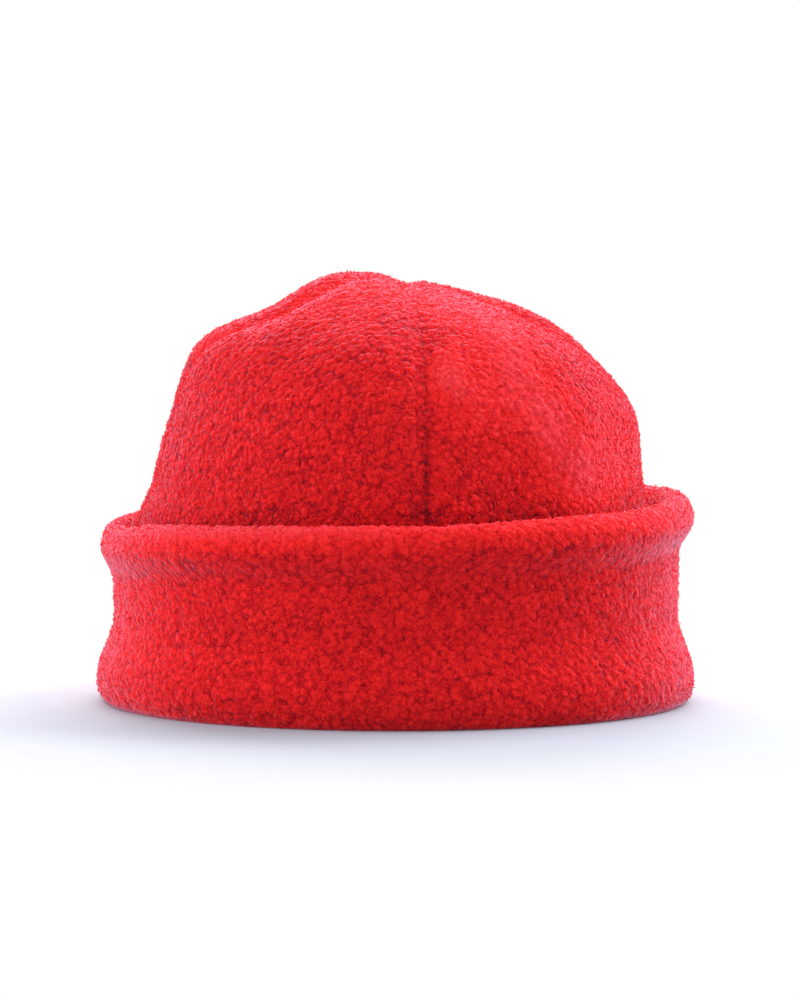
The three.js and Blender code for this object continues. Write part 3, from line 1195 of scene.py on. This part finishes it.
@dataclass
class Cuff(SewnPart):
    """The turned-up band: one strip folded along the top, turned under the rim, and closed at the back.

    Places along a stretch of its section run from 0 to 1, and under the rim from 0 to 180 degrees.
    """

    pattern: Pattern
    stations: tuple[CuffStation, ...] = CUFF_STATIONS
    fold_rise: float = 9.5
    fold_fluff: float = 0.4
    # Where across the fold its painted pale sheen is strongest, and how far it reaches.
    fold_sheen_paint_at: float = 0.4
    fold_sheen_paint_reach: float = 0.28
    neck_press: float = 0.5
    neck_to: float = 0.25
    neck_pile: Span = (0.3, 0.8)
    turn_pile: float = 28.0
    nap_from: float = 0.6
    matt_crest_at: float = -4.0
    matt_crest_reach: float = 60.0
    matt_crest_share: float = 0.7
    seed: int = 23
    waist_from: float = 33.0
    waist_below_fold: float = 13.0
    back_seam: float = 180.0
    back_seam_dip: float = 1.4
    back_seam_roll: float = 5.0
    columns: int = 750
    hidden_columns: int = 176
    lip_lines: int = 4
    neck_lines: int = 12
    fold_lines: int = 30
    slit_fold_lines: int = 7
    cut_size: Span = (0.692, 0.212)

    def section(self, row: CuffRow, angles: Array) -> tuple[Array, Array]:
        """Radius and height of a line along the band.

        Args:
            row: The line.
            angles: Angles round the hat.

        Returns:
            The line's radius and its height at each angle.
        """
        pattern = self.pattern
        read = {name: read_round(self.stations, name, angles) for name in CuffStation._fields[1:]}
        rim, waist = read["rim"] - pattern.half_band, read["waist"] - pattern.half_band
        half, fold = read["fold_half"], read["fold"] - read["fold_half"]
        fold_z = read["height"] - self.fold_rise
        low_z = fold_z - self.waist_below_fold
        same = np.zeros_like(angles)
        if row.part is Part.TURN:
            across = pattern.squared(-math.cos(math.radians(row.place)))
            down = pattern.squared(math.sin(math.radians(row.place)))
            middle, reach = (rim + pattern.lip_radius) / 2, (rim - pattern.lip_radius) / 2 + row.offset
            z = max(pattern.lip_z - (pattern.turn_depth + row.offset) * down, pattern.half_band - row.offset)
            return middle + reach * across, z + same
        if row.part is Part.FLARE:
            radius = mix(rim, waist, smooth(row.place)) + row.offset
            return radius, mix(pattern.lip_z, self.waist_from, row.place) + same
        if row.part is Part.WAIST:
            return waist + row.offset, mix(self.waist_from, low_z, row.place)
        if row.part is Part.LIFT:
            opened = smooth(row.place)
            spread = math.copysign(1.0, row.offset) * (half - pattern.half_band) * opened
            return mix(waist, fold, opened) + row.offset + spread, mix(low_z, fold_z, row.place)
        depth = row.offset
        turn = math.pi * row.place
        return fold + (half - depth) * math.cos(turn), fold_z + (self.fold_rise - depth) * math.sin(turn)

    def face(self, offset: float, steps: dict[Part, int], columns: int, weight: float) -> list[CuffRow]:
        """Lays out one face of a layer, from the lip to the fold.

        Args:
            offset: The face's distance outside the middle line.
            steps: How many lines each stretch takes.
            columns: Points of each line.
            weight: How much of the pile stands on the face.

        Returns:
            The lines in order.
        """
        start, stop = 90.0 - self.pattern.rest_half_angle, 90.0 + self.pattern.rest_half_angle
        turns = [*np.linspace(0.0, start, self.lip_lines), *np.linspace(stop, 180.0, steps[Part.TURN])]
        rows = []
        for turn in turns:
            grown = float(smooth(turn, stop, stop + self.turn_pile))
            rows.append(CuffRow(Part.TURN, turn, offset, columns, weight * grown))
        for part in (Part.FLARE, Part.WAIST):
            places = np.linspace(0.0, 1.0, steps[part] + 1)[1:]
            rows += [CuffRow(part, place, offset, columns, weight) for place in places]
        for place in np.linspace(0.0, 1.0, steps[Part.LIFT] + 1)[1:-1]:
            grown = 1.0 - self.neck_press * math.sin(math.pi * place)
            rows.append(CuffRow(Part.LIFT, place, offset, columns, weight * grown))
        return rows

    def lines(self) -> list[CuffRow]:
        """Lays out the closed section: up the outside, over the fold, down the inside, and back by the slit.

        Returns:
            The lines in order round the section.
        """
        band, slit = self.pattern.half_band, self.pattern.layer_slit
        fine = {Part.TURN: 15, Part.FLARE: 26, Part.WAIST: 18, Part.LIFT: 15}
        coarse = {Part.TURN: 4, Part.FLARE: 4, Part.WAIST: 3, Part.LIFT: 3}
        outside = [
            row if row.weight > 0.0 else row._replace(columns=self.hidden_columns)
            for row in self.face(band, fine, self.columns, 1.0)
        ]
        fold = [
            CuffRow(Part.FOLD, place, 0.0, self.columns, 1.0 + self.fold_fluff * math.sin(math.pi * place))
            for place in np.linspace(0.0, 1.0, self.fold_lines)
        ]
        near = [
            CuffRow(Part.LIFT, place, -band, self.columns, float(smooth(place, *self.neck_pile)))
            for place in np.linspace(1.0, self.neck_to, self.neck_lines)[1:]
        ]
        inner_face = self.face(-band, coarse, self.hidden_columns, 0.0)
        inside = [row for row in inner_face[::-1] if row.part is not Part.LIFT]
        slit_in = self.face(-slit, coarse, self.hidden_columns, 0.0)
        slit_fold = [
            CuffRow(Part.FOLD, place, self.pattern.fleece, self.hidden_columns, 0.0)
            for place in np.linspace(1.0, 0.0, self.slit_fold_lines)
        ]
        slit_out = self.face(slit, coarse, self.hidden_columns, 0.0)[::-1]
        return [*outside, *fold, *near, *inside, *slit_in, *slit_fold, *slit_out]

    def skin(self) -> Skin:
        """Builds the band's closed surface, before its pile is raised.

        Returns:
            The surface.
        """
        skin = Skin()
        rings = []
        rows = self.lines()
        for row in rows:
            angles = np.arange(row.columns) * 360.0 / row.columns
            radius, z = self.section(row, angles)
            from_seam = np.radians(turn_between(self.back_seam, angles)) * self.pattern.rim_radius
            upright = smooth(z, self.pattern.lip_z, self.waist_from)
            dip = self.back_seam_dip * bell(from_seam / self.back_seam_roll) * upright
            # Painted pale sheen on the fold and the band, by angle round the hat.
            sheen_paint = self.fold_sheen_paint(row) * read_round(self.stations, "sheen_paint", angles)
            sheen_paint += row.weight * read_round(self.stations, "band_sheen_paint", angles)
            ring = skin.add(around_hat(radius - dip, angles, z), row.weight, sheen_paint)
            rings.append(np.append(ring, ring[0]))
        for at, ring in enumerate(rings):
            after = (at + 1) % len(rings)
            shown = max(rows[at].weight, rows[after].weight) > 0.0
            skin.join(ring, rings[after], shown=shown)
        return skin

    def fold_sheen_paint(self, row: CuffRow) -> float:
        """Share of the fold's painted pale sheen that a line along the band has."""
        painted_sheen = float(bell((row.place - self.fold_sheen_paint_at) / self.fold_sheen_paint_reach))
        return painted_sheen if row.part is Part.FOLD else 0.0

    def pressed(self, points: Array, faces: Array) -> Array:
        """Picks scattered faces along the front of the fold's crest, where the pile is pressed.

        Args:
            points: Points of the cuff.
            faces: Its triangles.

        Returns:
            Whether each face is picked.
        """
        x, y, z = points[faces].mean(axis=1).T
        angles = np.degrees(np.arctan2(x, -y))
        above_crest = z - read_round(self.stations, "height", angles)
        share = smooth(above_crest, -self.matt_crest_share * self.fold_rise, 0.0)
        share = share * bell(turn_between(self.matt_crest_at, angles) / self.matt_crest_reach)
        return np.random.default_rng(self.seed).random(len(faces)) < share

    def build(self, wool: Wool) -> list[Object]:
        """Makes the cuff and the nap on it.

        Args:
            wool: The hat's finishes.

        Returns:
            The cuff and its nap.
        """
        cuff, nap = self.dress("cuff", "cuff", wool.cuff, wool, self.nap_from)
        return [cuff, nap]


@dataclass(frozen=True)
class FloorFinish(Finish):
    """Matt white floor that dissolves into the background away from the hat, with its sizes in metres."""

    name: str = "white_floor"
    colour: Colour = (0.425, 0.466, 0.54)
    grain_scale: float = 60.0
    roughness: Span = (0.7, 0.9)
    specular: float = 0.1
    fades: Span = (0.115, 0.30)

    def shader(self, nodes: Nodes) -> NodeSocket:
        """Adds the floor's nodes.

        Args:
            nodes: The tree to add to.

        Returns:
            The shader's output.
        """
        place = nodes.add("ShaderNodeTexCoord").outputs["Object"]
        distance = nodes.add("ShaderNodeVectorMath", {0: place}, operation="LENGTH").outputs["Value"]
        faded = nodes.remap(distance, self.fades, eased=True)
        grain = nodes.add("ShaderNodeTexNoise", {"Vector": place, "Scale": self.grain_scale}).outputs["Fac"]
        rough = nodes.remap(grain, (0.0, 1.0), self.roughness)
        look = {"Base Color": (*self.colour, 1.0), "Roughness": rough, "Specular IOR Level": self.specular}
        matt = nodes.add("ShaderNodeBsdfPrincipled", look).outputs["BSDF"]
        clear = nodes.add("ShaderNodeBsdfTransparent").outputs["BSDF"]
        seen = nodes.add("ShaderNodeLightPath").outputs["Is Camera Ray"]
        share = nodes.math("MULTIPLY", faded, seen)
        return nodes.add("ShaderNodeMixShader", {0: share, 1: matt, 2: clear}).outputs["Shader"]


class Softbox(NamedTuple):
    """A rectangular lamp that faces the hat: its place in metres, size, power in watts and colour."""

    name: str
    place: Place
    size: Span
    power: float
    colour: Colour


SOFTBOXES = (
    Softbox("left_low_softbox", (-1.4, 0.15, 0.4), (1.0, 1.2), 10.0, (1.0, 0.98, 0.99)),
    Softbox("left_high_softbox", (-0.95, -0.6, 1.2), (0.9, 0.9), 6.2, (1.0, 0.99, 0.98)),
    Softbox("back_softbox", (0.0, 1.4, 0.8), (1.6, 0.8), 41.0, (1.0, 0.98, 0.99)),
    Softbox("right_back_softbox", (0.9, 0.6, 1.2), (0.8, 0.8), 16.5, (1.0, 0.98, 0.99)),
    Softbox("right_side_softbox", (1.4, 0.1, 1.0), (0.8, 0.8), 15.5, (1.0, 0.99, 0.98)),
)


@dataclass(frozen=True)
class Studio:
    """Plain white studio: the floor, soft lamps, a white surround, and the camera.

    Sizes are in metres, with the camera's focal length and the picture's shift in pixels.
    """

    floor: FloorFinish = FloorFinish()
    softboxes: tuple[Softbox, ...] = SOFTBOXES
    floor_radius: float = 1.1
    floor_step: float = 5.0
    aim: Place = (0.0, 0.0, 0.07)
    surround: Colour = (0.94, 0.96, 1.0)
    surround_light: float = 0.78
    camera_turn: float = -7.0
    camera_distance: float = 1.5
    camera_height: float = 0.163
    sensor_width: float = 36.0
    focal_pixels: float = 3947.0
    image_height: float = 1000.0
    centre_right: float = 5.0
    centre_down: float = 230.0

    def build(self) -> None:
        """Sets up the floor, the lamps, the surround and the camera."""
        self.add_floor()
        for box in self.softboxes:
            self.add_lamp(box)
        self.add_surround()
        self.add_camera()
        bpy.context.scene.view_settings.view_transform = "Standard"

    def add_floor(self) -> None:
        """Lays a round floor under the hat."""
        mesh = bpy.data.meshes.new("floor")
        ring = around_hat(self.floor_radius, np.arange(0.0, 360.0, self.floor_step), 0.0)
        mesh.from_pydata(ring.tolist(), [], [list(range(len(ring)))])
        mesh.materials.append(self.floor.material())
        link_object("floor", mesh)

    def add_lamp(self, box: Softbox) -> None:
        """Hangs one softbox, turned to the hat.

        Args:
            box: The softbox.
        """
        lamp = bpy.data.lights.new(box.name, "AREA")
        lamp.shape = "RECTANGLE"
        lamp.size, lamp.size_y = box.size
        lamp.energy = box.power
        lamp.color = box.colour
        hung = link_object(box.name, lamp)
        hung.location = box.place
        hung.rotation_mode = "QUATERNION"
        hung.rotation_quaternion = (Vector(self.aim) - Vector(box.place)).to_track_quat("-Z", "Y")

    def add_surround(self) -> None:
        """Makes the surround white behind the hat, and a slightly dimmer and cooler light on it."""
        world = bpy.data.worlds.new("surround")
        world.use_nodes = True
        nodes = Nodes(world.node_tree)
        seen = nodes.add("ShaderNodeLightPath").outputs["Is Camera Ray"]
        light = nodes.remap(seen, (0.0, 1.0), (self.surround_light, 1.0))
        white = nodes.blend(seen, (*self.surround, 1.0), (1.0, 1.0, 1.0, 1.0))
        shone = nodes.add("ShaderNodeBackground", {"Color": white, "Strength": light})
        nodes.add("ShaderNodeOutputWorld", {"Surface": shone.outputs["Background"]})
        bpy.context.scene.world = world

    def add_camera(self) -> None:
        """Sets the camera at the height and turn that the hat is seen from."""
        turn = math.radians(self.camera_turn)
        ahead = Vector((-math.sin(turn), math.cos(turn), 0.0))
        right = Vector((math.cos(turn), math.sin(turn), 0.0))
        down = Vector((0.0, 0.0, -1.0))
        lens = bpy.data.cameras.new("camera")
        lens.sensor_width = self.sensor_width
        lens.lens = self.sensor_width * self.focal_pixels / self.image_height
        camera = link_object("camera", lens)
        camera.location = -self.camera_distance * ahead + Vector((0.0, 0.0, self.camera_height))
        sight = ahead + (self.centre_right * right + self.centre_down * down) / self.focal_pixels
        camera.rotation_mode = "QUATERNION"
        camera.rotation_quaternion = sight.to_track_quat("-Z", "Y")
        bpy.context.scene.camera = camera


def main() -> None:
    """Builds the studio and the hat's pieces in order, and reports each."""
    logging.basicConfig(level=logging.INFO, format="%(name)s: %(message)s")
    Studio().build()
    wool = Wool(
        crown=FleeceFinish(clump=0.0055).material(),
        cuff=FleeceFinish(name="red_boiled_wool_cuff", sheen=1.0, sheen_roughness=0.33).material(),
        matt=FleeceFinish(name="red_boiled_wool_matt", sheen=0.2).material(),
        fibre=NapFinish().material(),
    )
    pile = Pile()
    form = CrownForm()
    panels = [CrownPanel(pile, Nap(density=0.9), gore, form) for gore in Gore]
    pieces = [piece for panel in panels for piece in panel.build(wool)]
    pieces += Cuff(pile, Nap(density=0.45), form.pattern).build(wool)
    for piece in pieces:
        LOG.info("%s: %d triangles", piece.name, len(piece.data.polygons))


if __name__ == "__main__":
    main()
